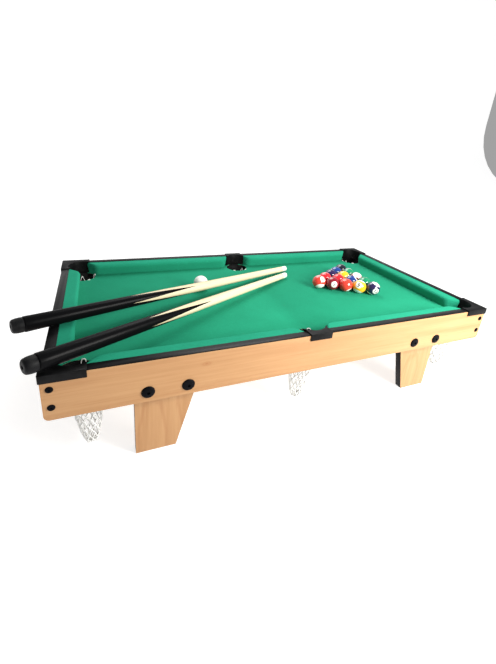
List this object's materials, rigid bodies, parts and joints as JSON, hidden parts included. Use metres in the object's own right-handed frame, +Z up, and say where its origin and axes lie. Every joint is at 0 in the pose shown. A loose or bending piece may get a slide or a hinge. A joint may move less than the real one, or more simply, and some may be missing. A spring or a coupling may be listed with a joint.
{
  "type": "mini pool table",
  "caption": "Tabletop pool table on board legs, with felt bed and cushions, string-net pockets, a racked set of numbered balls, a cue ball and cues leaning on the rail.",
  "frame": {"origin": "middle of the four feet, on the surface the table stands on; the playfield's centre is straight above it", "axes": "+X along the table towards the racked balls, +Y across it towards the back rail, +Z up"},
  "size_m": [0.7286, 0.3756, 0.1683],
  "materials": {
    "maple_foil": "wood-grain foil on MDF, satin",
    "black_edging": "satin black edge band",
    "bed_board": "raw fibreboard",
    "green_felt": "short-napped green felt",
    "cushion_felt": "green felt over a rubber cushion",
    "pocket_plastic": "fine-textured black plastic",
    "net_string": "white twisted string",
    "black_bolt": "black oxide",
    "zinc_nut": "zinc plated",
    "cleat_wood": "raw pine",
    "cue_wood": "lacquered maple with a black gloss butt",
    "cue_tip": "white plastic",
    "cue_bumper": "black rubber",
    "ball_cue_resin": "plain white",
    "ball_01_resin": "solid colour with a white number disc",
    "ball_02_resin": "solid colour with a white number disc",
    "ball_03_resin": "solid colour with a white number disc",
    "ball_04_resin": "solid colour with a white number disc",
    "ball_05_resin": "solid colour with a white number disc",
    "ball_06_resin": "solid colour with a white number disc",
    "ball_07_resin": "solid colour with a white number disc",
    "ball_08_resin": "solid colour with a white number disc",
    "ball_09_resin": "white with a coloured band and a white number disc",
    "ball_10_resin": "white with a coloured band and a white number disc",
    "ball_11_resin": "white with a coloured band and a white number disc",
    "ball_12_resin": "white with a coloured band and a white number disc",
    "ball_13_resin": "white with a coloured band and a white number disc",
    "ball_14_resin": "white with a coloured band and a white number disc",
    "ball_15_resin": "white with a coloured band and a white number disc"
  },
  "bodies": {
    "table": {"playfield_board": "bed_board", "playfield_cloth": "green_felt", "apron_front": "maple_foil", "rail_trim_front": "black_edging", "apron_back": "maple_foil", "rail_trim_back": "black_edging", "apron_left": "maple_foil", "rail_trim_left": "black_edging", "apron_right": "maple_foil", "rail_trim_right": "black_edging", "cushion_front_left": "cushion_felt", "corner_pocket_front_left": "pocket_plastic", "pocket_net_front_left": "net_string", "leg_front_left": "maple_foil", "cushion_front_right": "cushion_felt", "corner_pocket_front_right": "pocket_plastic", "pocket_net_front_right": "net_string", "leg_front_right": "maple_foil", "side_pocket_front": "pocket_plastic", "pocket_net_front_middle": "net_string", "cushion_back_left": "cushion_felt", "corner_pocket_back_left": "pocket_plastic", "pocket_net_back_left": "net_string", "leg_back_left": "maple_foil", "cushion_back_right": "cushion_felt", "corner_pocket_back_right": "pocket_plastic", "pocket_net_back_right": "net_string", "leg_back_right": "maple_foil", "side_pocket_back": "pocket_plastic", "pocket_net_back_middle": "net_string", "cushion_left_end": "cushion_felt", "cushion_right_end": "cushion_felt", "leg_bolts": "black_bolt", "leg_nuts": "zinc_nut", "corner_screws": "black_bolt", "bed_cleats_long": "cleat_wood", "bed_cleats_end": "cleat_wood"},
    "cue_1": {"cue_1_shaft": "cue_wood", "cue_1_tip": "cue_tip", "cue_1_bumper": "cue_bumper"},
    "cue_2": {"cue_2_shaft": "cue_wood", "cue_2_tip": "cue_tip", "cue_2_bumper": "cue_bumper"},
    "white_ball": {"ball_cue": "ball_cue_resin"},
    "one_ball": {"ball_01": "ball_01_resin"},
    "two_ball": {"ball_02": "ball_02_resin"},
    "three_ball": {"ball_03": "ball_03_resin"},
    "four_ball": {"ball_04": "ball_04_resin"},
    "five_ball": {"ball_05": "ball_05_resin"},
    "six_ball": {"ball_06": "ball_06_resin"},
    "seven_ball": {"ball_07": "ball_07_resin"},
    "eight_ball": {"ball_08": "ball_08_resin"},
    "nine_ball": {"ball_09": "ball_09_resin"},
    "ten_ball": {"ball_10": "ball_10_resin"},
    "eleven_ball": {"ball_11": "ball_11_resin"},
    "twelve_ball": {"ball_12": "ball_12_resin"},
    "thirteen_ball": {"ball_13": "ball_13_resin"},
    "fourteen_ball": {"ball_14": "ball_14_resin"},
    "fifteen_ball": {"ball_15": "ball_15_resin"}
  },
  "joints": [
    {"name": "lift_cue_1", "type": "slide", "parent": "table", "child": "cue_1", "axis": [0, 0, 1], "range_m": [0, 0.12]},
    {"name": "lift_cue_2", "type": "slide", "parent": "table", "child": "cue_2", "axis": [0, 0, 1], "range_m": [0, 0.12]},
    {"name": "lift_white_ball", "type": "slide", "parent": "table", "child": "white_ball", "axis": [0, 0, 1], "range_m": [0, 0.06]},
    {"name": "lift_one_ball", "type": "slide", "parent": "table", "child": "one_ball", "axis": [0, 0, 1], "range_m": [0, 0.06]},
    {"name": "lift_two_ball", "type": "slide", "parent": "table", "child": "two_ball", "axis": [0, 0, 1], "range_m": [0, 0.06]},
    {"name": "lift_three_ball", "type": "slide", "parent": "table", "child": "three_ball", "axis": [0, 0, 1], "range_m": [0, 0.06]},
    {"name": "lift_four_ball", "type": "slide", "parent": "table", "child": "four_ball", "axis": [0, 0, 1], "range_m": [0, 0.06]},
    {"name": "lift_five_ball", "type": "slide", "parent": "table", "child": "five_ball", "axis": [0, 0, 1], "range_m": [0, 0.06]},
    {"name": "lift_six_ball", "type": "slide", "parent": "table", "child": "six_ball", "axis": [0, 0, 1], "range_m": [0, 0.06]},
    {"name": "lift_seven_ball", "type": "slide", "parent": "table", "child": "seven_ball", "axis": [0, 0, 1], "range_m": [0, 0.06]},
    {"name": "lift_eight_ball", "type": "slide", "parent": "table", "child": "eight_ball", "axis": [0, 0, 1], "range_m": [0, 0.06]},
    {"name": "lift_nine_ball", "type": "slide", "parent": "table", "child": "nine_ball", "axis": [0, 0, 1], "range_m": [0, 0.06]},
    {"name": "lift_ten_ball", "type": "slide", "parent": "table", "child": "ten_ball", "axis": [0, 0, 1], "range_m": [0, 0.06]},
    {"name": "lift_eleven_ball", "type": "slide", "parent": "table", "child": "eleven_ball", "axis": [0, 0, 1], "range_m": [0, 0.06]},
    {"name": "lift_twelve_ball", "type": "slide", "parent": "table", "child": "twelve_ball", "axis": [0, 0, 1], "range_m": [0, 0.06]},
    {"name": "lift_thirteen_ball", "type": "slide", "parent": "table", "child": "thirteen_ball", "axis": [0, 0, 1], "range_m": [0, 0.06]},
    {"name": "lift_fourteen_ball", "type": "slide", "parent": "table", "child": "fourteen_ball", "axis": [0, 0, 1], "range_m": [0, 0.06]},
    {"name": "lift_fifteen_ball", "type": "slide", "parent": "table", "child": "fifteen_ball", "axis": [0, 0, 1], "range_m": [0, 0.06]}
  ]
}
